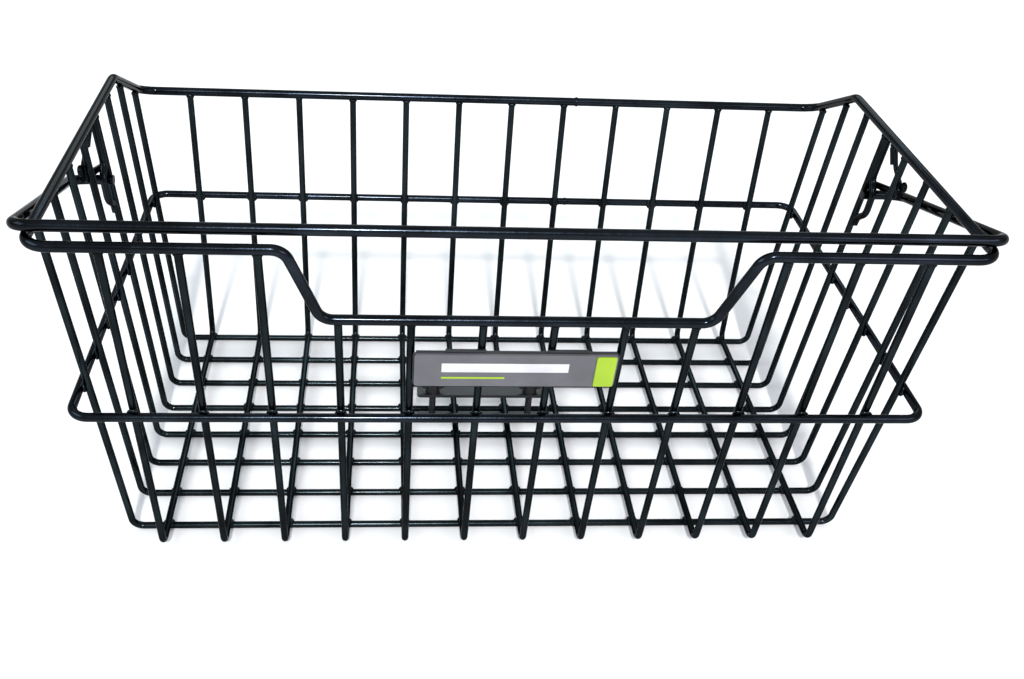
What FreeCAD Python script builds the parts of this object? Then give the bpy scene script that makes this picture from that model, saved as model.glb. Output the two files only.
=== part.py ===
"""Wire carrier basket with a folding bail handle and a clamp for a luggage carrier.

Frame: millimetres, +Z up, +X along the length of the basket, +Y from the dipped front
wall to the low back wall. The origin is the middle of the rectangle that the basket
covers, on the surface that it stands on.

Every wire is a sweep of one round section along straight runs joined by tangent arcs.
Crossing wires are welded in the real object, so here they only just touch.
"""
import FreeCAD
import Part
import math
import os
import Sketcher

V = FreeCAD.Vector
DOC = FreeCAD.newDocument("CarrierBasket")
DIMS = DOC.addObject("Spreadsheet::Sheet", "Dims")

# Driving dimensions, in millimetres. Heights are measured from the standing surface.
SIZES = [
    ("overall_length", 430.0),      # outside of the rim, end to end
    ("overall_depth", 240.0),       # outside of the rim, front to back
    ("rim_height", 209.8),          # centre of the rim along the front and the ends
    ("dip_height", 170.6),          # centre of the rim in the front dip
    ("back_height", 180.8),         # centre of the rim along the back
    ("hoop_height", 110.0),         # centre of the waist hoop
    ("front_lean", 28.3),           # outward lean of the front wall over its height
    ("back_lean", 9.2),             # outward lean of the back wall over the same height
    ("end_lean", 11.2),             # outward lean of an end wall over the same height
    ("dip_top_half", 104.5),        # half width of the dip where it leaves the rim
    ("dip_bottom_half", 90.0),      # half width of the dip at its bottom
    ("peak_run", 182.6),            # from the front rim back to where the end rim drops
    ("wire_dia", 3.8),
    ("hoop_dia", 4.5),
    ("rim_dia", 5.0),
    ("handle_dia", 5.3),
    ("weld_gap", 0.05),             # keeps welded wires from sharing volume
    ("cross_pitch", 33.0),          # spacing of the cross wires
    ("first_long_run", 17.1),       # from the front floor bend to the first long wire
    ("long_pitch", 26.1),           # spacing of the long wires on the floor
    ("first_long_top", -94.7),      # Y of the first long wire at the rim
    ("long_top_pitch", 28.2),       # spacing of the long wires at the rim
    ("wire_bend", 6.0),             # centre-line radius where a wire leaves the floor
    ("rim_corner", 10.0),
    ("dip_bend", 8.0),
    ("peak_bend", 14.0),
    ("hoop_corner", 9.0),
    ("pivot_back", 14.5),           # Y of the handle's pivot line
    ("pivot_height", 173.0),
    ("bar_setback", 7.5),           # from the front rim back to the bar of the handle
    ("bar_half", 218.0),            # half distance between the legs at the bar
    ("pivot_half", 229.0),          # half distance between the legs at the pivots
    ("pin_end_half", 206.5),        # half distance between the inner ends of the pins
    ("pin_room", 0.3),              # play between a pin and the bow in front of it
    ("bow_below", 21.0),            # how far the bearing bow starts below the pin
    ("bow_foot", 4.5),              # straight stretch of the bow before it bulges
    ("bow_drop", 10.0),             # how far the bulge's front reaches below the pin
    ("bow_rise", 3.5),              # and above it
    ("bow_above", 9.0),             # how far above the pin the bow is back on its wire
    ("bow_bend", 7.5),
    ("hook_dia", 2.6),
    ("hook_start", 6.6),            # Y of the free end of its hairpin
    ("hook_gap", 4.4),              # between the two legs of its hairpin
    ("hook_lean", 2.2),             # how far the hairpin leans back at its top
    ("hook_top_out", 0.6),          # how far the hairpin's top is outside the wall's wires
    ("hook_kink", 23.0),            # heights of the hook's bends above the pin
    ("hook_shelf", 17.0),
    ("hook_reach", 5.5),            # how far the hook's curl stands ahead of the wire
    ("hook_curl", 1.5),             # centre-line radius of the curl
    ("curl_rise", 3.3),             # height of the curl
    ("curl_return", 2.2),           # how far the curl's tip comes back
    ("hairpin_bend", 1.9),
    ("hook_bend", 5.0),
    ("keeper_low", 3.6),            # heights of the keeper's ends above the pin
    ("keeper_high", 13.4),
    ("keeper_tail", 1.5),           # how far the keeper stands past its two wires
    ("handle_bend", 9.0),
    ("rest_gap", 0.5),              # air under the bar of the handle where it crosses the rim
    ("badge_length", 95.5),
    ("badge_width", 20.4),
    ("badge_thick", 2.6),
    ("badge_height", 143.4),        # height of the middle of the badge
    ("badge_corner", 1.6),
    ("panel_length", 9.4),          # coloured end panel of the badge
    ("panel_thick", 0.5),
    ("clip_length", 8.0),
    ("clip_width", 9.0),
    ("clip_thick", 4.4),
    ("strip_length", 82.0),
    ("strip_width", 9.0),
    ("strip_thick", 2.5),
    ("upper_width", 9.0),
    ("upper_thick", 2.0),
    ("strip_corner", 2.5),
    ("clamp_back", 18.4),           # from the fourth long wire back to the clamp's middle
    ("clamp_drop", 13.0),           # travel of the clamp set through the floor
    ("bolt_half", 31.0),            # half distance between the clamp bolts
    ("bolt_dia", 4.0),
    ("bolt_head_dia", 7.4),
    ("bolt_top", 30.5),
    ("bolt_clearance", 0.3),        # radial room round a bolt in the strips
    ("washer_dia", 9.0),
    ("washer_thick", 0.8),
    ("nut_bore", 4.1),
    ("nut_hub_dia", 8.4),
    ("nut_hub_height", 4.8),
    ("wing_reach", 9.6),
    ("wing_rise", 8.6),
    ("wing_thick", 2.0),
    ("wing_round", 1.0),
    ("edge_cut", 0.6),              # chamfer at a bolt's point, and margin of the panel
]
PARTS = []


def fill_sheet():
    """Write the driving dimensions into the sheet, one per row, with an alias each."""
    for row, (alias, value) in enumerate(SIZES, start=1):
        DIMS.set("A%d" % row, alias)
        DIMS.set("B%d" % row, str(value))
        DIMS.setAlias("B%d" % row, alias)
    DOC.recompute()


def size(expression):
    """The number an expression over the sheet gives."""
    value = DIMS.evalExpression(expression)
    return float(getattr(value, "Value", value))


# Places that follow from the driving dimensions, as expressions over the sheet.
WALL_RISE = "(Dims.rim_height - 1.5 * Dims.wire_dia)"
CROSS_FLOOR_Z = "(1.5 * Dims.wire_dia + Dims.weld_gap)"
LONG_FLOOR_Z = "(0.5 * Dims.wire_dia)"
UNDER_RIM = "(0.5 * Dims.rim_dia + Dims.weld_gap)"
HOOP_OFFSET = "(0.5 * Dims.hoop_dia + 0.5 * Dims.wire_dia + Dims.weld_gap)"
RIM_FRONT_Y = "(0.5 * Dims.rim_dia - 0.5 * Dims.overall_depth)"
RIM_BACK_Y = "(0.5 * Dims.overall_depth - 0.5 * Dims.rim_dia)"
RIM_END_X = "(0.5 * Dims.overall_length - 0.5 * Dims.rim_dia)"


def front_wall_y(height):
    """Y of the front wall's cross wires at a height."""
    return "(%s + (Dims.rim_height - %s) * Dims.front_lean / %s)" % (
        RIM_FRONT_Y, height, WALL_RISE)


def back_wall_y(height):
    """Y of the back wall's cross wires at a height."""
    return "(%s - (Dims.back_height - %s) * Dims.back_lean / %s)" % (
        RIM_BACK_Y, height, WALL_RISE)


def end_wall_x(height):
    """X of the end wall's long wires at a height."""
    return "(%s - (Dims.rim_height - %s) * Dims.end_lean / %s)" % (
        RIM_END_X, height, WALL_RISE)


def add_part(thing, label):
    thing.Label = label
    PARTS.append(thing)
    return thing


def new_body(label):
    body = DOC.addObject("PartDesign::Body", "Body_" + label)
    return add_part(body, label)


def origin_plane(body, role):
    for feature in body.Origin.OriginFeatures:
        if feature.Role == role:
            return feature
    raise ValueError("no plane " + role)


def new_sketch(body, role, name):
    sketch = body.newObject("Sketcher::SketchObject", name)
    sketch.AttachmentSupport = [(origin_plane(body, role), "")]
    sketch.MapMode = "FlatFace"
    return sketch


def bind_point(sketch, geo, pos, corner, name):
    """Hold one point of a sketch at a corner given by two expressions."""
    for kind, expression in zip(("DistanceX", "DistanceY"), corner):
        label = "%s_%s" % (name, kind[-1])
        rule = Sketcher.Constraint(kind, -1, 1, geo, pos, size(expression))
        index = sketch.addConstraint(rule)
        sketch.renameConstraint(index, label)
        sketch.setExpression("Constraints." + label, expression)


def bend_points(before, corner, after, radius):
    """Start, middle and end of the arc that rounds a corner."""
    back = (before - corner).normalize()
    ahead = (after - corner).normalize()
    half = back.getAngle(ahead) / 2
    reach = radius / math.tan(half)
    inward = (back + ahead).normalize()
    centre = corner + inward * (radius / math.sin(half))
    return corner + back * reach, centre - inward * radius, corner + ahead * reach


def outline(sketch, corners, radius=None, closed=True):
    """Draw straight runs through the corners, with every bend rounded to one radius.

    The corners are held by construction lines; the runs lie on those lines and the
    arcs touch the runs, so the sketch has no freedom left.
    """
    points = [V(size(u), size(v), 0) for u, v in corners]
    count = len(points)
    legs = count if closed else count - 1
    guides = []
    for i in range(legs):
        line = Part.LineSegment(points[i], points[(i + 1) % count])
        guides.append(sketch.addGeometry(line, radius is not None))
        bind_point(sketch, guides[i], 1, corners[i], "corner%d" % i)
    for i in range(legs - 1):
        sketch.addConstraint(Sketcher.Constraint("Coincident", guides[i], 2, guides[i + 1], 1))
    if closed:
        sketch.addConstraint(Sketcher.Constraint("Coincident", guides[-1], 2, guides[0], 1))
    else:
        bind_point(sketch, guides[-1], 2, corners[-1], "corner%d" % (count - 1))
    if radius is not None:
        round_outline(sketch, points, guides, radius, closed)


def round_outline(sketch, points, guides, radius, closed):
    """Lay the real runs on the guide lines and join them with tangent arcs."""
    count = len(points)
    legs = len(guides)
    value = size(radius)
    starts = list(points[:legs])
    ends = [points[(i + 1) % count] for i in range(legs)]
    bends = range(count) if closed else range(1, count - 1)
    middles = {}
    for i in bends:
        first, middle, last = bend_points(points[i - 1], points[i], points[(i + 1) % count], value)
        ends[i - 1] = first
        starts[i % legs] = last
        middles[i] = (first, middle, last)
    runs = [sketch.addGeometry(Part.LineSegment(starts[i], ends[i]), False) for i in range(legs)]
    for i in range(legs):
        fixed_start = not closed and i == 0
        fixed_end = not closed and i == legs - 1
        for pos, fixed in ((1, fixed_start), (2, fixed_end)):
            if fixed:
                rule = Sketcher.Constraint("Coincident", runs[i], pos, guides[i], pos)
            else:
                rule = Sketcher.Constraint("PointOnObject", runs[i], pos, guides[i])
            sketch.addConstraint(rule)
    for i in bends:
        first, middle, last = middles[i]
        arc = sketch.addGeometry(Part.Arc(first, middle, last), False)
        from_start = sketch.getPoint(arc, 1).distanceToPoint(first)
        from_end = sketch.getPoint(arc, 2).distanceToPoint(first)
        pos_first, pos_last = (1, 2) if from_start < from_end else (2, 1)
        sketch.addConstraint(Sketcher.Constraint("Tangent", runs[i - 1], 2, arc, pos_first))
        sketch.addConstraint(Sketcher.Constraint("Tangent", arc, pos_last, runs[i % legs], 1))
        index = sketch.addConstraint(Sketcher.Constraint("Radius", arc, value))
        sketch.renameConstraint(index, "bend%d" % i)
        sketch.setExpression("Constraints.bend%d" % i, radius)


def circle(sketch, centre, diameter, name):
    """Add a circle at a place given by two expressions."""
    middle = V(size(centre[0]), size(centre[1]), 0)
    geo = sketch.addGeometry(Part.Circle(middle, V(0, 0, 1), size(diameter) / 2), False)
    bind_point(sketch, geo, 3, centre, name)
    index = sketch.addConstraint(Sketcher.Constraint("Diameter", geo, size(diameter)))
    sketch.renameConstraint(index, name + "_dia")
    sketch.setExpression("Constraints.%s_dia" % name, diameter)


def wire_body(label, role, corners, diameter, radius, closed=False):
    """A bent wire whose centre line lies in one plane of its own body."""
    body = new_body(label)
    path = new_sketch(body, role, "Path_" + label)
    outline(path, corners, radius, closed)
    DOC.recompute()
    section = body.newObject("Sketcher::SketchObject", "Section_" + label)
    section.AttachmentSupport = [(path, "Edge1")]
    section.MapMode = "NormalToEdge"
    section.MapPathParameter = 0.5 if closed else 0.0
    circle(section, ("0", "0"), diameter, "wire")
    DOC.recompute()
    pipe = body.newObject("PartDesign::AdditivePipe", "Pipe_" + label)
    pipe.Profile = section
    pipe.Spine = (path, [])
    pipe.Mode = "Frenet" if closed else "Standard"
    body.Tip = pipe
    return body


def place(thing, x="0", y="0", z="0", tilt=None):
    """Place a sub-part; tilt is an angle about X in degrees."""
    if tilt is not None:
        thing.Placement = FreeCAD.Placement(V(0, 0, 0), FreeCAD.Rotation(V(1, 0, 0), 1))
        thing.setExpression(".Placement.Rotation.Angle", tilt)
    thing.setExpression(".Placement.Base.x", x)
    thing.setExpression(".Placement.Base.y", y)
    thing.setExpression(".Placement.Base.z", z)


# ---- The welded basket ---------------------------------------------------------------

CROSS_COUNT = 12
LONG_COUNT = 8
LEVEL_LONG_WIRES = 6                # long wires that end under the level part of the rim
AHEAD_OF_PIN = 4                    # the long wires on either side of each handle pin
BEHIND_PIN = 5
DIP_WIRES = range(4, 10)            # cross wires that end at the dipped rim


def make_cross_wires():
    """Wires that run down the front wall, across the floor and up the back wall."""
    back_top = "(Dims.back_height - %s)" % UNDER_RIM
    for number in range(1, CROSS_COUNT + 1):
        rim = "Dims.dip_height" if number in DIP_WIRES else "Dims.rim_height"
        front_top = "(%s - %s)" % (rim, UNDER_RIM)
        corners = [
            (front_wall_y(front_top), front_top),
            (front_wall_y(CROSS_FLOOR_Z), CROSS_FLOOR_Z),
            (back_wall_y(CROSS_FLOOR_Z), CROSS_FLOOR_Z),
            (back_wall_y(back_top), back_top),
        ]
        wire = wire_body("cross_wire_%02d" % number, "YZ_Plane", corners,
                         "Dims.wire_dia", "Dims.wire_bend")
        place(wire, x="%s * Dims.cross_pitch" % (number - (CROSS_COUNT + 1) / 2))


def long_floor_y(number):
    return "(%s + Dims.first_long_run + %d * Dims.long_pitch)" % (
        front_wall_y(CROSS_FLOOR_Z), number - 1)


def long_top_y(number):
    return "(Dims.first_long_top + %d * Dims.long_top_pitch)" % (number - 1)


PEAK_Y = "(%s + Dims.peak_run)" % RIM_FRONT_Y
RIM_FALL = "((Dims.rim_height - Dims.back_height) / (%s - %s))" % (RIM_BACK_Y, PEAK_Y)


def long_slope(number):
    """How far a long wire leans back for each millimetre that it rises."""
    return "((%s - %s) / (Dims.rim_height - %s))" % (
        long_top_y(number), long_floor_y(number), LONG_FLOOR_Z)


def long_top(number):
    """Height of a long wire's ends, just under the level or the falling part of the rim."""
    fall = "0" if number <= LEVEL_LONG_WIRES else RIM_FALL
    slope = long_slope(number)
    past = "%s * (%s - %s)" % (fall, long_top_y(number), PEAK_Y)
    under = "0.5 * Dims.rim_dia * sqrt(1 + %s * %s)" % (fall, fall)
    spread = "0.5 * Dims.wire_dia * abs(%s - %s)" % (fall, slope)
    return "(Dims.rim_height - (%s + %s + %s + Dims.weld_gap) / (1 + %s * %s))" % (
        past, under, spread, fall, slope)


def make_long_wires():
    """Wires that run along the floor, under the cross wires, and up both end walls.

    Each lies in a plane that holds its floor run and leans about X, because the wires
    are spaced a little wider at the rim than on the floor.
    """
    for number in range(1, LONG_COUNT + 1):
        top = long_top(number)
        rise = "(%s - %s)" % (top, LONG_FLOOR_Z)
        shift = "(%s * %s)" % (long_slope(number), rise)
        slant = "sqrt(%s * %s + %s * %s)" % (rise, rise, shift, shift)
        top_x = end_wall_x(top)
        floor_x = end_wall_x(LONG_FLOOR_Z)
        corners = [
            ("-" + top_x, slant),
            ("-" + floor_x, "0"),
            (floor_x, "0"),
            (top_x, slant),
        ]
        wire = wire_body("long_wire_%d" % number, "XZ_Plane", corners,
                         "Dims.wire_dia", "Dims.wire_bend")
        place(wire, y=long_floor_y(number), z=LONG_FLOOR_Z,
              tilt="-atan(%s / %s)" % (shift, rise))


def make_waist_hoop():
    """Flat ring of wire round the outside of all four walls."""
    half_x = "(%s + %s)" % (end_wall_x("Dims.hoop_height"), HOOP_OFFSET)
    front = "(%s - %s)" % (front_wall_y("Dims.hoop_height"), HOOP_OFFSET)
    back = "(%s + %s)" % (back_wall_y("Dims.hoop_height"), HOOP_OFFSET)
    corners = [("-" + half_x, front), (half_x, front), (half_x, back), ("-" + half_x, back)]
    hoop = wire_body("waist_hoop", "XY_Plane", corners, "Dims.hoop_dia",
                     "Dims.hoop_corner", closed=True)
    place(hoop, z="Dims.hoop_height")


def bent_line(points, radii, closed=False):
    """Edges of a line through points in space, each bend rounded to its own radius."""
    count = len(points)
    edges = []
    start = points[0]
    bends = range(count) if closed else range(1, count - 1)
    arcs = {}
    for i in bends:
        arcs[i] = bend_points(points[i - 1], points[i], points[(i + 1) % count], radii[i])
    if closed:
        start = arcs[0][2]
    for i in list(bends)[1 if closed else 0:] + ([0] if closed else []):
        first, middle, last = arcs[i]
        edges.append(Part.LineSegment(start, first).toShape())
        edges.append(Part.Arc(first, middle, last).toShape())
        start = last
    if not closed:
        edges.append(Part.LineSegment(start, points[-1]).toShape())
    return edges


def sweep(label, points, radii, diameter, closed=False):
    """A round wire along a line bent in space, as a feature made by code."""
    path = Part.Wire(bent_line(points, radii, closed))
    first = path.Edges[0]
    start = first.valueAt(first.FirstParameter)
    ahead = first.tangentAt(first.FirstParameter)
    ring = Part.Wire(Part.Circle(start, ahead, diameter / 2).toShape())
    shape = path.makePipeShell([ring], True, False)
    section = math.pi * diameter * diameter / 4
    expected = section * path.Length
    if abs(shape.Volume - expected) > 0.01 * expected:
        raise ValueError("%s has the wrong volume" % label)
    feature = DOC.addObject("Part::Feature", "Sweep_" + label)
    feature.Shape = shape
    return add_part(feature, label)


def make_rim():
    """The rim: a closed loop with a dip in front and ends that drop to a low back."""
    front = size(RIM_FRONT_Y)
    back = size(RIM_BACK_Y)
    end_x = size(RIM_END_X)
    top = size("Dims.rim_height")
    low = size("Dims.back_height")
    dip = size("Dims.dip_height")
    dip_front = size(front_wall_y("Dims.dip_height"))
    peak = size(PEAK_Y)
    back_x = end_x - (top - low) * size("Dims.end_lean / " + WALL_RISE)
    dip_top = size("Dims.dip_top_half")
    dip_bottom = size("Dims.dip_bottom_half")
    points = [
        V(-dip_top, front, top),
        V(-dip_bottom, dip_front, dip),
        V(dip_bottom, dip_front, dip),
        V(dip_top, front, top),
        V(end_x, front, top),
        V(end_x, peak, top),
        V(back_x, back, low),
        V(-back_x, back, low),
        V(-end_x, peak, top),
        V(-end_x, front, top),
    ]
    bend = size("Dims.dip_bend")
    corner = size("Dims.rim_corner")
    soft = size("Dims.peak_bend")
    radii = [bend, bend, bend, bend, corner, soft, corner, corner, soft, corner]
    sweep("rim_wire", points, radii, size("Dims.rim_dia"), closed=True)


def wall_point(side, y, height, outward=0.0):
    """A point in the plane of an end wall's wires, or outward of it."""
    return V(side * (size(end_wall_x(str(height))) + outward), y, height)


def long_wire_y(number, height):
    """Y of a long wire at a height on the end wall."""
    floor_z = size(LONG_FLOOR_Z)
    share = (height - floor_z) / (size("Dims.rim_height") - floor_z)
    floor_y = size(long_floor_y(number))
    return floor_y + share * (size(long_top_y(number)) - floor_y)


def make_pivot_bow(side, name):
    """Bearing for a handle pin: a wire that bows forward round it from the fifth wire.

    It lies along that long wire from below the pin up to the rim, apart from the bow.
    """
    apart = size("Dims.wire_dia + 2 * Dims.weld_gap")
    pin_z = size("Dims.pivot_height")
    foot = pin_z - size("Dims.bow_below")
    low = pin_z - size("Dims.bow_drop")
    high = pin_z + size("Dims.bow_rise")
    bow_y = size("Dims.pivot_back - 0.5 * Dims.handle_dia - Dims.pin_room - 0.5 * Dims.wire_dia")

    def beside(height):
        return wall_point(side, long_wire_y(BEHIND_PIN, height) - apart, height)

    points = [
        beside(foot),
        beside(foot + size("Dims.bow_foot")),
        wall_point(side, bow_y, low),
        wall_point(side, bow_y, high),
        beside(pin_z + size("Dims.bow_above")),
        beside(size(long_top(BEHIND_PIN))),
    ]
    bend = size("Dims.bow_bend")
    sweep("pivot_bow_" + name, points, [0, bend, bend, bend, bend, 0], size("Dims.wire_dia"))


def make_pivot_hook(side, name):
    """Thin wire outside the fourth long wire: a hairpin under the rim, then an open curl."""
    outward = size("0.5 * Dims.wire_dia + 0.5 * Dims.hook_dia + Dims.weld_gap")
    top_out = size("Dims.hook_top_out")
    pin_z = size("Dims.pivot_height")
    kink = pin_z + size("Dims.hook_kink")
    top = size("Dims.rim_height - %s - 0.5 * Dims.hook_dia" % UNDER_RIM)
    shelf = pin_z + size("Dims.hook_shelf")
    start_y = size("Dims.hook_start")
    gap = size("Dims.hook_gap")
    lean = size("Dims.hook_lean")
    curl = size("Dims.hook_curl")
    rise = size("Dims.curl_rise")
    tip_y = long_wire_y(AHEAD_OF_PIN, shelf) - size("Dims.hook_reach")
    spots = [
        (start_y, kink, outward),
        (start_y + lean, top, top_out),
        (start_y + lean - gap, top, top_out),
        (start_y - gap, kink, outward),
        (tip_y + rise, shelf, outward),
        (tip_y, shelf, outward),
        (tip_y, shelf + rise, outward),
        (tip_y + size("Dims.curl_return"), shelf + rise, outward),
    ]
    points = [wall_point(side, y, height, out) for y, height, out in spots]
    turn = size("Dims.hairpin_bend")
    bend = size("Dims.hook_bend")
    radii = [0, turn, turn, bend, bend, curl, curl, 0]
    sweep("pivot_hook_" + name, points, radii, size("Dims.hook_dia"))


def make_pivot_keeper(side, name):
    """Straight wire just above the pin, welded outside the fourth and fifth long wires."""
    outward = size("Dims.wire_dia + 2 * Dims.weld_gap")
    tail = size("Dims.keeper_tail")
    low = size("Dims.pivot_height + Dims.keeper_low")
    high = size("Dims.pivot_height + Dims.keeper_high")
    start = wall_point(side, long_wire_y(BEHIND_PIN, low) + tail, low, outward)
    end = wall_point(side, long_wire_y(AHEAD_OF_PIN, high) - tail, high, outward)
    sweep("pivot_keeper_" + name, [start, end], [0, 0], size("Dims.wire_dia"))


# ---- The badge -----------------------------------------------------------------------

FRONT_TILT = "atan(Dims.front_lean / %s)" % WALL_RISE


def badge_frame(thing, along_x="0", forward="0"):
    """Place a piece in the leaning plane of the front wall, at the badge's height.

    The piece's own X runs along the basket, its Y up the wall and its Z forward.
    """
    place(thing, x=along_x, tilt="90 deg + " + FRONT_TILT)
    face = "(0.5 * Dims.wire_dia + Dims.weld_gap + %s)" % forward
    thing.setExpression(".Placement.Base.y", "%s - %s" % (front_wall_y("Dims.badge_height"), face))
    thing.setExpression(".Placement.Base.z", "Dims.badge_height - %s * Dims.front_lean / %s"
                        % (face, WALL_RISE))


def rectangle(half_x, half_y):
    """Corners of a rectangle about the origin, as expressions."""
    low_x, low_y = "-" + half_x, "-" + half_y
    return [(low_x, low_y), (half_x, low_y), (half_x, half_y), (low_x, half_y)]


def pad(body, sketch, length, centred=False):
    feature = body.newObject("PartDesign::Pad", "Pad_" + body.Label)
    feature.Profile = sketch
    feature.Midplane = centred
    feature.setExpression("Length", length)
    body.Tip = feature
    return feature


def make_badge():
    """Plate on the front wall with a coloured end panel and a wire clip behind each half."""
    plate = new_body("badge_plate")
    face = new_sketch(plate, "XY_Plane", "Face_badge_plate")
    outline(face, rectangle("(0.5 * Dims.badge_length)", "(0.5 * Dims.badge_width)"),
            "Dims.badge_corner")
    DOC.recompute()
    pad(plate, face, "Dims.badge_thick")
    badge_frame(plate)

    panel = new_body("badge_panel")
    face = new_sketch(panel, "XY_Plane", "Face_badge_panel")
    half_height = "(0.5 * Dims.badge_width - Dims.edge_cut)"
    outline(face, rectangle("(0.5 * Dims.panel_length)", half_height),
            "(Dims.badge_corner - Dims.edge_cut)")
    DOC.recompute()
    pad(panel, face, "Dims.panel_thick")
    badge_frame(panel, "0.5 * Dims.badge_length - 0.5 * Dims.panel_length - Dims.edge_cut",
                "(Dims.badge_thick + Dims.weld_gap)")

    for side, name in ((-1, "left"), (1, "right")):
        make_badge_clip(side, name)


def make_badge_clip(side, name):
    """Block behind the badge with a groove that snaps over a cross wire."""
    block = DOC.addObject("Part::Box", "ClipBlock_" + name)
    block.setExpression("Length", "Dims.clip_width")
    block.setExpression("Width", "Dims.clip_length")
    block.setExpression("Height", "Dims.clip_thick")
    block.setExpression(".Placement.Base.x", "-0.5 * Dims.clip_width")
    block.setExpression(".Placement.Base.y", "-0.5 * Dims.clip_length")
    block.setExpression(".Placement.Base.z", "-Dims.clip_thick")
    groove = DOC.addObject("Part::Cylinder", "ClipGroove_" + name)
    groove.setExpression("Radius", "0.5 * Dims.wire_dia + Dims.weld_gap")
    groove.setExpression("Height", "3 * Dims.clip_length")
    groove.Placement = FreeCAD.Placement(V(0, 0, 0), FreeCAD.Rotation(V(1, 0, 0), -90))
    groove.setExpression(".Placement.Base.y", "-1.5 * Dims.clip_length")
    groove.setExpression(".Placement.Base.z", "-0.5 * Dims.wire_dia")
    clip = DOC.addObject("Part::Cut", "Clip_" + name)
    clip.Base = block
    clip.Tool = groove
    badge_frame(clip, "%s * 0.5 * Dims.cross_pitch" % side, "(-Dims.weld_gap)")
    add_part(clip, "badge_clip_" + name)


# ---- The folding handle --------------------------------------------------------------

BAR_Y = "(%s + Dims.bar_setback)" % RIM_FRONT_Y
BAR_Z = "(Dims.rim_height + 0.5 * Dims.rim_dia + 0.5 * Dims.handle_dia + Dims.rest_gap)"
BAR_AHEAD = "(Dims.pivot_back - %s)" % BAR_Y
BAR_ABOVE = "(%s - Dims.pivot_height)" % BAR_Z


def make_handle():
    """One wire: two pins through the end walls, two legs and the bar across the front."""
    reach = "sqrt(%s * %s + %s * %s)" % (BAR_AHEAD, BAR_AHEAD, BAR_ABOVE, BAR_ABOVE)
    corners = [
        ("-Dims.pin_end_half", "0"),
        ("-Dims.pivot_half", "0"),
        ("-Dims.bar_half", "-" + reach),
        ("Dims.bar_half", "-" + reach),
        ("Dims.pivot_half", "0"),
        ("Dims.pin_end_half", "0"),
    ]
    handle = wire_body("handle_bail", "XY_Plane", corners, "Dims.handle_dia",
                       "Dims.handle_bend")
    place(handle, y="Dims.pivot_back", z="Dims.pivot_height",
          tilt="-atan(%s / %s)" % (BAR_ABOVE, BAR_AHEAD))


# ---- The clamp for the luggage carrier -----------------------------------------------

CLAMP_Y = "(%s + Dims.clamp_back)" % long_floor_y(AHEAD_OF_PIN)
UPPER_Z = "(2 * Dims.wire_dia + 3 * Dims.weld_gap + Dims.clamp_drop)"
NUT_Z = "(%s + Dims.upper_thick + Dims.washer_thick + 2 * Dims.weld_gap)" % UPPER_Z
CLAMP_FLOOR_Z = "0.01"              # the clamp all but touches the standing surface


def make_strip(label, width, thick, height):
    """Flat strip with rounded corners and a hole for each clamp bolt."""
    strip = new_body(label)
    face = new_sketch(strip, "XY_Plane", "Face_" + label)
    outline(face, rectangle("(0.5 * Dims.strip_length)", "(0.5 * %s)" % width),
            "Dims.strip_corner")
    hole = "(Dims.bolt_dia + 2 * Dims.bolt_clearance)"
    circle(face, ("-Dims.bolt_half", "0"), hole, "hole_left")
    circle(face, ("Dims.bolt_half", "0"), hole, "hole_right")
    DOC.recompute()
    pad(strip, face, thick)
    place(strip, y=CLAMP_Y, z=height)
    return strip


def make_lower_strip():
    """The strip under the floor: the bolt heads sit flush in its countersinks."""
    strip = make_strip("clamp_lower_strip", "Dims.strip_width", "Dims.strip_thick",
                       CLAMP_FLOOR_Z)
    for side, name in ((-1, "left"), (1, "right")):
        profile = new_sketch(strip, "XZ_Plane", "Countersink_" + name)
        rim = "(0.5 * Dims.bolt_head_dia + Dims.bolt_clearance)"
        centre = "(%d * Dims.bolt_half)" % side
        outline(profile, [
            (centre, "0"),
            ("(%s + %s)" % (centre, rim), "0"),
            (centre, rim),
        ])
        DOC.recompute()
        sink = strip.newObject("PartDesign::Groove", "Sink_" + name)
        sink.Profile = profile
        sink.ReferenceAxis = (profile, ["Edge3"])
        sink.Angle = 360
        strip.Tip = sink
        DOC.recompute()


def make_bolt(side, name):
    """Countersunk bolt that points up through both strips."""
    bolt = new_body("clamp_bolt_" + name)
    profile = new_sketch(bolt, "XZ_Plane", "Profile_bolt_" + name)
    head = "(0.5 * Dims.bolt_head_dia)"
    shank = "(0.5 * Dims.bolt_dia)"
    outline(profile, [
        ("0", "0"),
        (head, "0"),
        (shank, "(%s - %s)" % (head, shank)),
        (shank, "(Dims.bolt_top - Dims.edge_cut)"),
        ("(%s - Dims.edge_cut)" % shank, "Dims.bolt_top"),
        ("0", "Dims.bolt_top"),
    ])
    DOC.recompute()
    turn = bolt.newObject("PartDesign::Revolution", "Turn_bolt_" + name)
    turn.Profile = profile
    turn.ReferenceAxis = (profile, ["V_Axis"])
    turn.Angle = 360
    bolt.Tip = turn
    place(bolt, x="%d * Dims.bolt_half" % side, y=CLAMP_Y, z=CLAMP_FLOOR_Z)


def make_washer(side, name):
    washer = new_body("clamp_washer_" + name)
    face = new_sketch(washer, "XY_Plane", "Face_washer_" + name)
    circle(face, ("0", "0"), "Dims.washer_dia", "rim")
    circle(face, ("0", "0"), "(Dims.bolt_dia + 2 * Dims.bolt_clearance)", "hole")
    DOC.recompute()
    pad(washer, face, "Dims.washer_thick")
    place(washer, x="%d * Dims.bolt_half" % side, y=CLAMP_Y,
          z="%s + Dims.upper_thick + Dims.weld_gap" % UPPER_Z)


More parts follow.
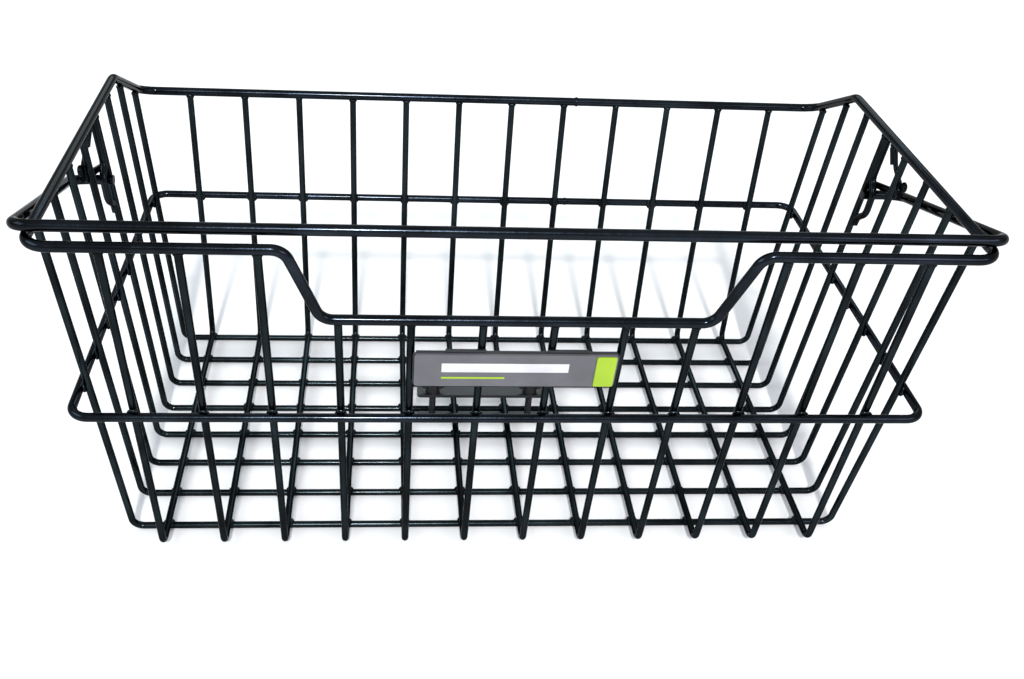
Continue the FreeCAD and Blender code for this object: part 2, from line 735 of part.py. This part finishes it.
def make_wing_nut(side, name):
    """Turned hub with a bore and two flat wings that rise outward."""
    nut = new_body("wing_nut_" + name)
    profile = new_sketch(nut, "XZ_Plane", "Hub_nut_" + name)
    hub = "(0.5 * Dims.nut_hub_dia)"
    bore = "(0.5 * Dims.nut_bore)"
    top = "Dims.nut_hub_height"
    outline(profile, [
        (bore, "0"),
        (hub, "0"),
        ("(0.8 * %s)" % hub, top),
        (bore, top),
    ])
    DOC.recompute()
    turn = nut.newObject("PartDesign::Revolution", "Turn_nut_" + name)
    turn.Profile = profile
    turn.ReferenceAxis = (profile, ["V_Axis"])
    turn.Angle = 360
    nut.Tip = turn
    DOC.recompute()
    wing = new_sketch(nut, "XZ_Plane", "Wing_nut_" + name)
    outline(wing, [
        ("(0.7 * %s)" % hub, "(0.15 * %s)" % top),
        ("(0.7 * Dims.wing_reach)", "(0.25 * Dims.wing_rise)"),
        ("Dims.wing_reach", "(0.65 * Dims.wing_rise)"),
        ("(0.93 * Dims.wing_reach)", "Dims.wing_rise"),
        ("(0.6 * Dims.wing_reach)", "(0.93 * Dims.wing_rise)"),
        ("(0.7 * %s)" % hub, "(0.85 * %s)" % top),
    ], "Dims.wing_round")
    DOC.recompute()
    blade = pad(nut, wing, "Dims.wing_thick", centred=True)
    DOC.recompute()
    other = nut.newObject("PartDesign::PolarPattern", "Wings_nut_" + name)
    other.Originals = [blade]
    other.Axis = (wing, ["V_Axis"])
    other.Angle = 360
    other.Occurrences = 2
    nut.Tip = other
    place(nut, x="%d * Dims.bolt_half" % side, y=CLAMP_Y, z=NUT_Z)


def make_clamp():
    make_lower_strip()
    make_strip("clamp_upper_strip", "Dims.upper_width", "Dims.upper_thick", UPPER_Z)
    for side, name in ((-1, "left"), (1, "right")):
        make_bolt(side, name)
        make_washer(side, name)
        make_wing_nut(side, name)


def check_model():
    """Stop on any object that failed, or any sub-part that isn't whole and closed."""
    failed = [thing.Name for thing in DOC.Objects
              if "Invalid" in thing.State or "Error" in thing.State]
    if failed:
        raise ValueError("these objects failed: " + ", ".join(failed))
    for thing in PARTS:
        if thing.Shape.isNull() or not thing.Shape.isValid() or not thing.Shape.Solids:
            raise ValueError("%s has no valid solid" % thing.Label)


def write_parts():
    os.makedirs("parts", exist_ok=True)
    for thing in PARTS:
        thing.Shape.exportStep("parts/%s.step" % thing.Label)


fill_sheet()
make_cross_wires()
make_long_wires()
make_waist_hoop()
make_rim()
for hand_side, hand in ((-1, "left"), (1, "right")):
    make_pivot_bow(hand_side, hand)
    make_pivot_hook(hand_side, hand)
    make_pivot_keeper(hand_side, hand)
make_badge()
make_handle()
make_clamp()
DOC.recompute()
check_model()
write_parts()
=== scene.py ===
"""Looks of the wire carrier basket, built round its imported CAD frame."""
import math
import random

import bmesh
import bpy
from mathutils import Matrix, Vector


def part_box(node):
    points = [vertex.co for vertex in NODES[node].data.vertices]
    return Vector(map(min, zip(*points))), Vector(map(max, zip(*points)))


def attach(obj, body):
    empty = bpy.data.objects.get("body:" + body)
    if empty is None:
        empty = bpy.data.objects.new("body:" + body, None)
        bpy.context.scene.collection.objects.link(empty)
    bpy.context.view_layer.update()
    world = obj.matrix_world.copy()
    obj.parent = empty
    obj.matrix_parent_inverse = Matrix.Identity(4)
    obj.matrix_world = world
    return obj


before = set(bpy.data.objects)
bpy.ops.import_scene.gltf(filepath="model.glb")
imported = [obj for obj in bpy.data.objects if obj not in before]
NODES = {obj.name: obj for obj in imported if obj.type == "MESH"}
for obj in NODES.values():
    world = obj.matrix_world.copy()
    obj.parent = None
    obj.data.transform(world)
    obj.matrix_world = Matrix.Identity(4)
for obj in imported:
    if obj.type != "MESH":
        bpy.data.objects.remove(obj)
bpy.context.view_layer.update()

MM = 0.001
CHANCE = random.Random(11)


# ---- Materials -------------------------------------------------------------------------

def new_material(name):
    material = bpy.data.materials.new(name)
    material.use_nodes = True
    tree = material.node_tree
    return material, tree, tree.nodes["Principled BSDF"]


def add_node(tree, kind, **values):
    node = tree.nodes.new(kind)
    for key, value in values.items():
        setattr(node, key, value)
    return node


def noise(tree, scale, detail=3.0, roughness=0.5, stretch=None):
    """A noise texture over the object's own coordinates, which are the row's metres."""
    coords = add_node(tree, "ShaderNodeTexCoord")
    texture = add_node(tree, "ShaderNodeTexNoise")
    texture.inputs["Scale"].default_value = scale
    texture.inputs["Detail"].default_value = detail
    texture.inputs["Roughness"].default_value = roughness
    source = coords.outputs["Object"]
    if stretch is not None:
        mapping = add_node(tree, "ShaderNodeMapping")
        mapping.inputs["Scale"].default_value = stretch
        tree.links.new(source, mapping.inputs["Vector"])
        source = mapping.outputs["Vector"]
    tree.links.new(source, texture.inputs["Vector"])
    return texture


def ramp(tree, source, stops):
    """A colour ramp fed by a texture's factor; stops are (position, colour)."""
    node = add_node(tree, "ShaderNodeValToRGB")
    elements = node.color_ramp.elements
    while len(elements) < len(stops):
        elements.new(0.5)
    for element, (position, colour) in zip(elements, stops):
        element.position = position
        element.color = (*colour, 1.0)
    tree.links.new(source, node.inputs["Fac"])
    return node


def spread(tree, source, low, high):
    """Map a 0 to 1 factor to the range from low to high."""
    node = add_node(tree, "ShaderNodeMapRange")
    node.inputs["To Min"].default_value = low
    node.inputs["To Max"].default_value = high
    tree.links.new(source, node.inputs["Value"])
    return node.outputs["Result"]


def bump(tree, shader, source, strength, distance):
    node = add_node(tree, "ShaderNodeBump")
    node.inputs["Strength"].default_value = strength
    node.inputs["Distance"].default_value = distance
    tree.links.new(source, node.inputs["Height"])
    tree.links.new(node.outputs["Normal"], shader.inputs["Normal"])


def coating(name, dark, tint, roughness, coat):
    """Glossy dipped coating on wire: near black, with cool reflections and an orange peel."""
    material, tree, shader = new_material(name)
    patches = noise(tree, 38.0, 4.0)
    colour = ramp(tree, patches.outputs["Fac"], [(0.34, dark), (0.72, tint)])
    tree.links.new(colour.outputs["Color"], shader.inputs["Base Color"])
    grain = noise(tree, 420.0, 2.0)
    tree.links.new(spread(tree, grain.outputs["Fac"], roughness - 0.05, roughness + 0.09),
                   shader.inputs["Roughness"])
    shader.inputs["Metallic"].default_value = 1.0
    shader.inputs["Specular Tint"].default_value = (0.07, 0.08, 0.10, 1.0)
    shader.inputs["Coat Weight"].default_value = coat
    shader.inputs["Coat IOR"].default_value = 1.30
    shader.inputs["Coat Roughness"].default_value = 0.06
    shader.inputs["Coat Tint"].default_value = (0.90, 0.93, 1.0, 1.0)
    peel = noise(tree, 700.0, 2.0)
    bump(tree, shader, peel.outputs["Fac"], 0.16, 0.0002)
    return material


def moulded(name, dark, light, roughness):
    """Moulded plastic with a fine spark-eroded grain."""
    material, tree, shader = new_material(name)
    clouds = noise(tree, 60.0, 3.0)
    colour = ramp(tree, clouds.outputs["Fac"], [(0.3, dark), (0.75, light)])
    tree.links.new(colour.outputs["Color"], shader.inputs["Base Color"])
    grain = noise(tree, 1800.0, 2.0)
    tree.links.new(spread(tree, grain.outputs["Fac"], roughness - 0.08, roughness + 0.1),
                   shader.inputs["Roughness"])
    bump(tree, shader, grain.outputs["Fac"], 0.18, 0.0002)
    return material


def zinc(name, dark, light):
    """Zinc-plated steel with soft spangle and fine turning marks."""
    material, tree, shader = new_material(name)
    shader.inputs["Metallic"].default_value = 0.85
    spangle = noise(tree, 240.0, 3.0)
    colour = ramp(tree, spangle.outputs["Fac"], [(0.3, dark), (0.7, light)])
    tree.links.new(colour.outputs["Color"], shader.inputs["Base Color"])
    marks = noise(tree, 300.0, 4.0, 0.6, (1.0, 1.0, 9.0))
    tree.links.new(spread(tree, marks.outputs["Fac"], 0.30, 0.52), shader.inputs["Roughness"])
    bump(tree, shader, marks.outputs["Fac"], 0.12, 0.0002)
    return material


def assign(node, material):
    """Give a CAD node one material in all its slots."""
    for slot in NODES[node].material_slots:
        slot.material = material


BLACK = coating("black_coating", (0.0056, 0.0082, 0.0095), (0.0205, 0.0300, 0.0340), 0.20, 0.22)
RIM_BLACK = coating("rim_coating", (0.0056, 0.0076, 0.0105), (0.0215, 0.0290, 0.0390), 0.17, 0.38)
CLAMP_BLACK = moulded("clamp_black", (0.006, 0.006, 0.007), (0.013, 0.013, 0.015), 0.38)
PLASTIC = moulded("black_plastic", (0.006, 0.006, 0.007), (0.012, 0.012, 0.014), 0.42)
BADGE_BACK = moulded("badge_back", (0.010, 0.010, 0.012), (0.018, 0.018, 0.021), 0.45)
BADGE_GREY = moulded("badge_grey", (0.098, 0.098, 0.108), (0.132, 0.132, 0.145), 0.45)
BADGE_GREEN = moulded("badge_green", (0.30, 0.47, 0.010), (0.36, 0.55, 0.014), 0.42)
BADGE_LIGHT = moulded("badge_light", (0.62, 0.62, 0.64), (0.74, 0.74, 0.76), 0.40)
ZINC = zinc("zinc_plate", (0.030, 0.030, 0.034), (0.065, 0.065, 0.070))

CLAMP_STRIPS = ("clamp_lower_strip", "clamp_upper_strip")
CLAMP_METAL = ("clamp_bolt_left", "clamp_bolt_right", "clamp_washer_left", "clamp_washer_right")
WING_NUTS = ("wing_nut_left", "wing_nut_right")
BADGE_CLIPS = ("badge_clip_left", "badge_clip_right")


def finish_nodes():
    """A material for each CAD node, and soft edges where its ends were cut or stamped."""
    for name in NODES:
        assign(name, BLACK)
    groups = (
        (("handle_bail", "rim_wire", "waist_hoop"), RIM_BLACK),
        (WING_NUTS, PLASTIC),
        (BADGE_CLIPS, BADGE_BACK),
        (CLAMP_STRIPS, CLAMP_BLACK),
        (CLAMP_METAL, ZINC),
        (("badge_plate",), BADGE_GREY),
        (("badge_panel",), BADGE_GREEN),
    )
    for names, material in groups:
        for name in names:
            assign(name, material)
    for name, node in NODES.items():
        if name.startswith(("cross_wire", "long_wire", "pivot_")):
            soften(node, 0.9 * MM)
    soften(NODES["handle_bail"], 1.9 * MM)
    for name in ("badge_plate",) + CLAMP_STRIPS:
        soften(NODES[name], 0.45 * MM)
    for name in WING_NUTS:
        soften(NODES[name], 0.35 * MM)


def soften(thing, width):
    """Round the edges of a piece that are sharper than the facets of a wire."""
    bevel = thing.modifiers.new("soft_edges", "BEVEL")
    bevel.width = width
    bevel.segments = 3
    bevel.limit_method = "ANGLE"
    bevel.angle_limit = math.radians(55)
    bevel.use_clamp_overlap = True


# ---- Geometry of the welded basket -------------------------------------------------------

CROSS_WIRES = ["cross_wire_%02d" % number for number in range(1, 13)]
LONG_WIRES = ["long_wire_%d" % number for number in range(1, 9)]
DIP_WIRES = CROSS_WIRES[3:9]        # the cross wires that end at the dipped rim

RIM_RADIUS = 2.5 * MM
HOOK_RADIUS = 1.3 * MM
FRONT_LEAN = 28.3 * MM              # lean of each wall over the height of the basket
BACK_LEAN = 9.2 * MM
END_LEAN = 11.2 * MM
BACK_HEIGHT = 180.8 * MM            # centre of the rim along the back
DIP_HEIGHT = 170.6 * MM             # centre of the rim in the dip

WIRE_RADIUS = (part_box("cross_wire_01")[1][0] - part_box("cross_wire_01")[0][0]) / 2
HOOP_LOW, HOOP_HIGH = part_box("waist_hoop")
HOOP_HEIGHT = (HOOP_LOW[2] + HOOP_HIGH[2]) / 2
HOOP_RADIUS = (HOOP_HIGH[2] - HOOP_LOW[2]) / 2
RIM_LOW, RIM_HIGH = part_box("rim_wire")
RIM_HEIGHT = RIM_HIGH[2] - RIM_RADIUS
RISE = RIM_HEIGHT - 3 * WIRE_RADIUS


def middle_x(node):
    low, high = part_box(node)
    return (low[0] + high[0]) / 2


def front_face_y(height):
    """Y of the outside of the front wall's wires at a height."""
    return RIM_LOW[1] + RIM_RADIUS - WIRE_RADIUS + (RIM_HEIGHT - height) * FRONT_LEAN / RISE


def back_face_y(height):
    """Y of the outside of the back wall's wires at a height."""
    return RIM_HIGH[1] - RIM_RADIUS + WIRE_RADIUS - (BACK_HEIGHT - height) * BACK_LEAN / RISE


def end_face_x(height):
    """X of the outside of the right wall's wires at a height."""
    return RIM_HIGH[0] - RIM_RADIUS + WIRE_RADIUS - (RIM_HEIGHT - height) * END_LEAN / RISE


def long_wire_y(node, height):
    """Y of a long wire at a height: it leans from its floor run to its end at the rim."""
    low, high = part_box(node)
    floor_y = high[1] - WIRE_RADIUS
    top_y = low[1] + WIRE_RADIUS
    share = (height - WIRE_RADIUS) / (high[2] - WIRE_RADIUS)
    return floor_y + share * (top_y - floor_y)


# ---- Welds ------------------------------------------------------------------------------

BEAD_SPAN = 3.25 * MM               # half width of a coated weld where two wires cross
BEAD_DEPTH = 1.30 * MM              # half thickness of it, from wire to wire
FLAT_BEAD = (BEAD_SPAN, BEAD_SPAN, BEAD_DEPTH)
COLLAR = (2.25 * MM, 2.25 * MM, 1.7 * MM)         # round a wire's end under the rim
SEAM = (1.5 * MM, 4.5 * MM, 1.2 * MM)             # between two wires that lie side by side
SHELF_BEAD = (2.4 * MM, 2.4 * MM, 0.9 * MM)       # where the hook wire crosses a long wire
HAIRPIN_BEAD = (2.0 * MM, 1.8 * MM, 0.8 * MM)     # where its hairpin meets the rim


def add_bead(mesh, place, facing, half_sizes):
    """A lump of weld metal under its coating; its third size lies along facing."""
    turn = Vector(facing).to_track_quat("Z", "Y").to_matrix().to_4x4()
    sizes = [value * CHANCE.uniform(0.9, 1.12) for value in half_sizes]
    shape = Matrix.Diagonal((*sizes, 1.0))
    bmesh.ops.create_uvsphere(mesh, u_segments=16, v_segments=10, radius=1.0,
                              matrix=Matrix.Translation(place) @ turn @ shape)


def make_piece(name, mesh, material, body):
    """Turn a bmesh into a smooth piece that rides on a body."""
    data = bpy.data.meshes.new(name)
    mesh.to_mesh(data)
    mesh.free()
    for face in data.polygons:
        face.use_smooth = True
    data.materials.append(material)
    piece = bpy.data.objects.new(name, data)
    bpy.context.scene.collection.objects.link(piece)
    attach(piece, body)
    return piece


def make_beads(name, beads):
    mesh = bmesh.new()
    for place, facing, half_sizes in beads:
        add_bead(mesh, place, facing, half_sizes)
    make_piece(name, mesh, BLACK, "basket")


def floor_beads():
    """Where a cross wire lies on a long wire."""
    return [((middle_x(cross), long_wire_y(long_wire, WIRE_RADIUS), 2 * WIRE_RADIUS),
             (0, 0, 1), FLAT_BEAD)
            for cross in CROSS_WIRES for long_wire in LONG_WIRES]


def hoop_beads():
    """Where the waist hoop touches the wires of the four walls."""
    beads = []
    for cross in CROSS_WIRES:
        across = middle_x(cross)
        beads.append(((across, front_face_y(HOOP_HEIGHT), HOOP_HEIGHT), (0, 1, 0), FLAT_BEAD))
        beads.append(((across, back_face_y(HOOP_HEIGHT), HOOP_HEIGHT), (0, 1, 0), FLAT_BEAD))
    for long_wire in LONG_WIRES:
        along = long_wire_y(long_wire, HOOP_HEIGHT)
        for side in (-1, 1):
            place = (side * end_face_x(HOOP_HEIGHT), along, HOOP_HEIGHT)
            beads.append((place, (1, 0, 0), FLAT_BEAD))
    return beads


def rim_beads():
    """Fillets of coating where the wire ends are welded under the rim."""
    drop = RIM_RADIUS + 0.2 * MM    # from the rim's centre down to the weld
    beads = []
    for cross in CROSS_WIRES:
        across = middle_x(cross)
        front = (DIP_HEIGHT if cross in DIP_WIRES else RIM_HEIGHT) - drop
        back = BACK_HEIGHT - drop
        beads.append(((across, front_face_y(front) + WIRE_RADIUS, front), (0, 0, 1), COLLAR))
        beads.append(((across, back_face_y(back) - WIRE_RADIUS, back), (0, 0, 1), COLLAR))
    for long_wire in LONG_WIRES:
        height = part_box(long_wire)[1][2]
        for side in (-1, 1):
            middle = side * (end_face_x(height) - WIRE_RADIUS)
            beads.append(((middle, long_wire_y(long_wire, height), height), (0, 0, 1), COLLAR))
    return beads


def seam_beads():
    """Butt welds that close the rim and the hoop, at the back."""
    seam_x = 57 * MM
    rim_y = RIM_HIGH[1] - RIM_RADIUS
    hoop_y = HOOP_HIGH[1] - HOOP_RADIUS
    seams = ((rim_y, BACK_HEIGHT, RIM_RADIUS), (hoop_y, HOOP_HEIGHT, HOOP_RADIUS))
    return [((seam_x, y, height), (1, 0, 0), (1.13 * radius, 1.13 * radius, 1.6 * MM))
            for y, height, radius in seams]


def pivot_beads():
    """Where the small wires round each handle pin meet the long wires and the rim."""
    beads = []
    fourth, fifth = LONG_WIRES[3], LONG_WIRES[4]
    for side, name in ((-1, "left"), (1, "right")):
        bow_low, bow_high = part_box("pivot_bow_" + name)
        keeper_low, keeper_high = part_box("pivot_keeper_" + name)
        hook_low, hook_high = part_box("pivot_hook_" + name)
        foot_weld = bow_low[2] + 4 * MM
        head_weld = bow_high[2] - 8 * MM
        for height in (foot_weld, head_weld):
            middle = end_face_x(height) - WIRE_RADIUS
            place = (side * middle, long_wire_y(fifth, height) - WIRE_RADIUS, height)
            beads.append((place, (0, 1, 0), SEAM))
        keeper_ends = ((fifth, keeper_low[2] + WIRE_RADIUS), (fourth, keeper_high[2] - WIRE_RADIUS))
        for wire, height in keeper_ends:
            place = (side * end_face_x(height), long_wire_y(wire, height), height)
            beads.append((place, (1, 0, 0), FLAT_BEAD))
        shelf = hook_low[2] + HOOK_RADIUS
        place = (side * end_face_x(shelf), long_wire_y(fourth, shelf), shelf)
        beads.append((place, (1, 0, 0), SHELF_BEAD))
        top = hook_high[2]
        place = (side * (end_face_x(top) - WIRE_RADIUS), hook_high[1] - 3.5 * MM, top)
        beads.append((place, (0, 0, 1), HAIRPIN_BEAD))
    return beads


def make_welds():
    make_beads("welds_floor", floor_beads())
    make_beads("welds_hoop", hoop_beads())
    make_beads("welds_rim", rim_beads())
    make_beads("welds_seams", seam_beads())
    make_beads("welds_pivots", pivot_beads())


# ---- The badge --------------------------------------------------------------------------

BADGE_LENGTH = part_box("badge_plate")[1][0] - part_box("badge_plate")[0][0]
BADGE_WIDTH = 20.4 * MM
BADGE_THICK = 2.6 * MM
PANEL_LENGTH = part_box("badge_panel")[1][0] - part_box("badge_panel")[0][0]


def badge_place():
    """Frame at the middle of the plate: X along it, Y up the wall, Z out of its face."""
    low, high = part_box("badge_plate")
    middle = [(a + b) / 2 for a, b in zip(low, high)]
    lean = math.atan2(FRONT_LEAN, RISE)
    return Matrix.Translation(middle) @ Matrix.Rotation(math.radians(90) + lean, 4, "X")


def add_block(mesh, place, middle, sizes):
    """A box in a frame of its own."""
    shape = Matrix.Diagonal((*sizes, 1.0))
    bmesh.ops.create_cube(mesh, size=1.0, matrix=place @ Matrix.Translation(middle) @ shape)


def make_badge_frame():
    """Dark backing that shows as a thin edge round the plate, with a lug over each clip."""
    place = badge_place()
    edge = 0.7 * MM
    depth = 1.5 * MM
    back = -BADGE_THICK / 2 + depth / 2
    half_x = BADGE_LENGTH / 2 + edge / 2
    half_y = BADGE_WIDTH / 2 + edge / 2
    mesh = bmesh.new()
    for side in (-1, 1):
        add_block(mesh, place, (0, side * half_y, back), (BADGE_LENGTH - 2 * edge, edge, depth))
        add_block(mesh, place, (side * half_x, 0, back), (edge, BADGE_WIDTH - 2 * edge, depth))
        lug = (side * 24 * MM, half_y + edge, back)
        add_block(mesh, place, lug, (19 * MM, 1.4 * MM, depth))
    piece = make_piece("badge_frame", mesh, BADGE_BACK, "basket")
    soften(piece, 0.25 * MM)


def make_badge_bar(name, middle, sizes, material):
    """A plain bar printed on the plate, which stands up a hair from its face."""
    relief = 0.3 * MM
    mesh = bmesh.new()
    place = (*middle, BADGE_THICK / 2 + relief / 2 - 0.1 * MM)
    add_block(mesh, badge_place(), place, (*sizes, relief))
    soften(make_piece(name, mesh, material, "basket"), 0.1 * MM)


def make_badge_bars():
    """Plain bars where such a plate carries its print."""
    make_badge_bar("badge_stripe", (-5 * MM, 2.0 * MM), (60 * MM, 5.6 * MM),
                   BADGE_LIGHT)
    make_badge_bar("badge_underline", (-20 * MM, -4.6 * MM), (30 * MM, 1.1 * MM),
                   BADGE_GREEN)


# ---- The bolts' threads ------------------------------------------------------------------

THREAD_PITCH = 0.7 * MM
THREAD_DEPTH = 0.2 * MM
THREAD_STEPS = 20                   # points in each turn


def make_thread(bolt):
    """A helical ridge on a bolt, from above its head to just under its point."""
    low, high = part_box(bolt)
    centre_x, centre_y = middle_x(bolt), (low[1] + high[1]) / 2
    core = 1.95 * MM
    start = low[2] + 4 * MM
    turns = int((high[2] - 1.0 * MM - start) / THREAD_PITCH)
    mesh = bmesh.new()
    section = ((core, -0.4), (core + THREAD_DEPTH, 0.0), (core, 0.4))
    rings = []
    for step in range(turns * THREAD_STEPS + 1):
        angle = 2 * math.pi * step / THREAD_STEPS
        height = start + THREAD_PITCH * step / THREAD_STEPS
        rings.append([mesh.verts.new((centre_x + radius * math.cos(angle),
                                      centre_y + radius * math.sin(angle),
                                      height + share * THREAD_PITCH))
                      for radius, share in section])
    for ring, after in zip(rings, rings[1:]):
        for i in range(3):
            j = (i + 1) % 3
            mesh.faces.new((ring[i], after[i], after[j], ring[j]))
    mesh.faces.new(rings[0])
    mesh.faces.new(reversed(rings[-1]))
    bmesh.ops.recalc_face_normals(mesh, faces=mesh.faces)
    make_piece(bolt.replace("bolt", "thread"), mesh, ZINC, "clamp")


# ---- Floor, light and camera -----------------------------------------------------------

def make_floor():
    bpy.ops.mesh.primitive_plane_add(size=30.0, location=(0, 0, 0))
    floor = bpy.context.active_object
    floor.name = "floor"
    material, tree, shader = new_material("floor_white")
    shader.inputs["Base Color"].default_value = (0.94, 0.94, 0.94, 1)
    shader.inputs["Roughness"].default_value = 0.9
    shader.inputs["Specular IOR Level"].default_value = 0.1
    floor.data.materials.append(material)


def area_light(name, place, target, power, width, height, colour):
    lamp = bpy.data.lights.new(name, "AREA")
    lamp.shape = "RECTANGLE"
    lamp.size = width
    lamp.size_y = height
    lamp.energy = power
    lamp.color = colour
    lamp_object = bpy.data.objects.new(name, lamp)
    bpy.context.scene.collection.objects.link(lamp_object)
    lamp_object.location = place
    lamp_object.rotation_euler = (Vector(target) - Vector(place)).to_track_quat("-Z", "Y").to_euler()


def make_lights():
    world = bpy.data.worlds.new("studio")
    world.use_nodes = True
    background = world.node_tree.nodes["Background"]
    background.inputs["Color"].default_value = (0.96, 0.98, 1.0, 1)
    background.inputs["Strength"].default_value = 0.56
    bpy.context.scene.world = world
    key = bpy.data.lights.new("key", "SUN")
    key.energy = 2.3
    key.angle = math.radians(4)
    key_object = bpy.data.objects.new("key", key)
    bpy.context.scene.collection.objects.link(key_object)
    key_object.rotation_euler = (math.radians(45), 0, math.radians(-2))
    area_light("cool", (-1.1, -0.3, 0.9), (0, 0, 0.1), 5, 0.9, 0.5, (0.70, 0.88, 1.0))
    area_light("violet", (1.0, -1.0, 0.9), (0, 0, 0.1), 5, 0.8, 0.5, (0.88, 0.82, 1.0))
    area_light("back", (0.2, 1.5, 1.0), (0, 0, 0.1), 6, 1.4, 0.5, (0.80, 0.95, 1.0))
    bpy.context.scene.view_settings.view_transform = "Standard"


# The viewing position and direction. They are the result of a least-squares fit to the
# wires' crossings and the rim's corners, made with the basket's sizes held as they were then.
CAMERA_PLACE = (-0.0608, -0.5121, 0.4451)
CAMERA_TURN = 5.69       # heading, degrees from +Y towards +X
CAMERA_PITCH = 35.33     # degrees below the horizon
CAMERA_ROLL = 3.76       # degrees
FOCAL_WIDTHS = 1.04686   # focal length as a share of the picture's width
SHIFT_X = 0.0379
SHIFT_Y = 0.0003


def make_camera():
    data = bpy.data.cameras.new("camera")
    data.sensor_fit = "HORIZONTAL"
    data.sensor_width = 36.0
    data.lens = 36.0 * FOCAL_WIDTHS
    data.shift_x = SHIFT_X
    data.shift_y = SHIFT_Y
    data.clip_start = 0.01
    camera = bpy.data.objects.new("camera", data)
    bpy.context.scene.collection.objects.link(camera)
    turn = math.radians(CAMERA_TURN)
    pitch = math.radians(CAMERA_PITCH)
    roll = math.radians(CAMERA_ROLL)
    ahead = Vector((math.sin(turn) * math.cos(pitch), math.cos(turn) * math.cos(pitch),
                    -math.sin(pitch)))
    right = Vector((math.cos(turn), -math.sin(turn), 0))
    above = right.cross(ahead)
    tilted_right = right * math.cos(roll) + above * math.sin(roll)
    tilted_up = above * math.cos(roll) - right * math.sin(roll)
    axes = Matrix((tilted_right, tilted_up, -ahead)).transposed()
    camera.matrix_world = Matrix.Translation(CAMERA_PLACE) @ axes.to_4x4()
    bpy.context.scene.camera = camera


finish_nodes()
make_welds()
make_badge_frame()
make_badge_bars()
for clamp_bolt in ("clamp_bolt_left", "clamp_bolt_right"):
    make_thread(clamp_bolt)
make_floor()
make_lights()
make_camera()
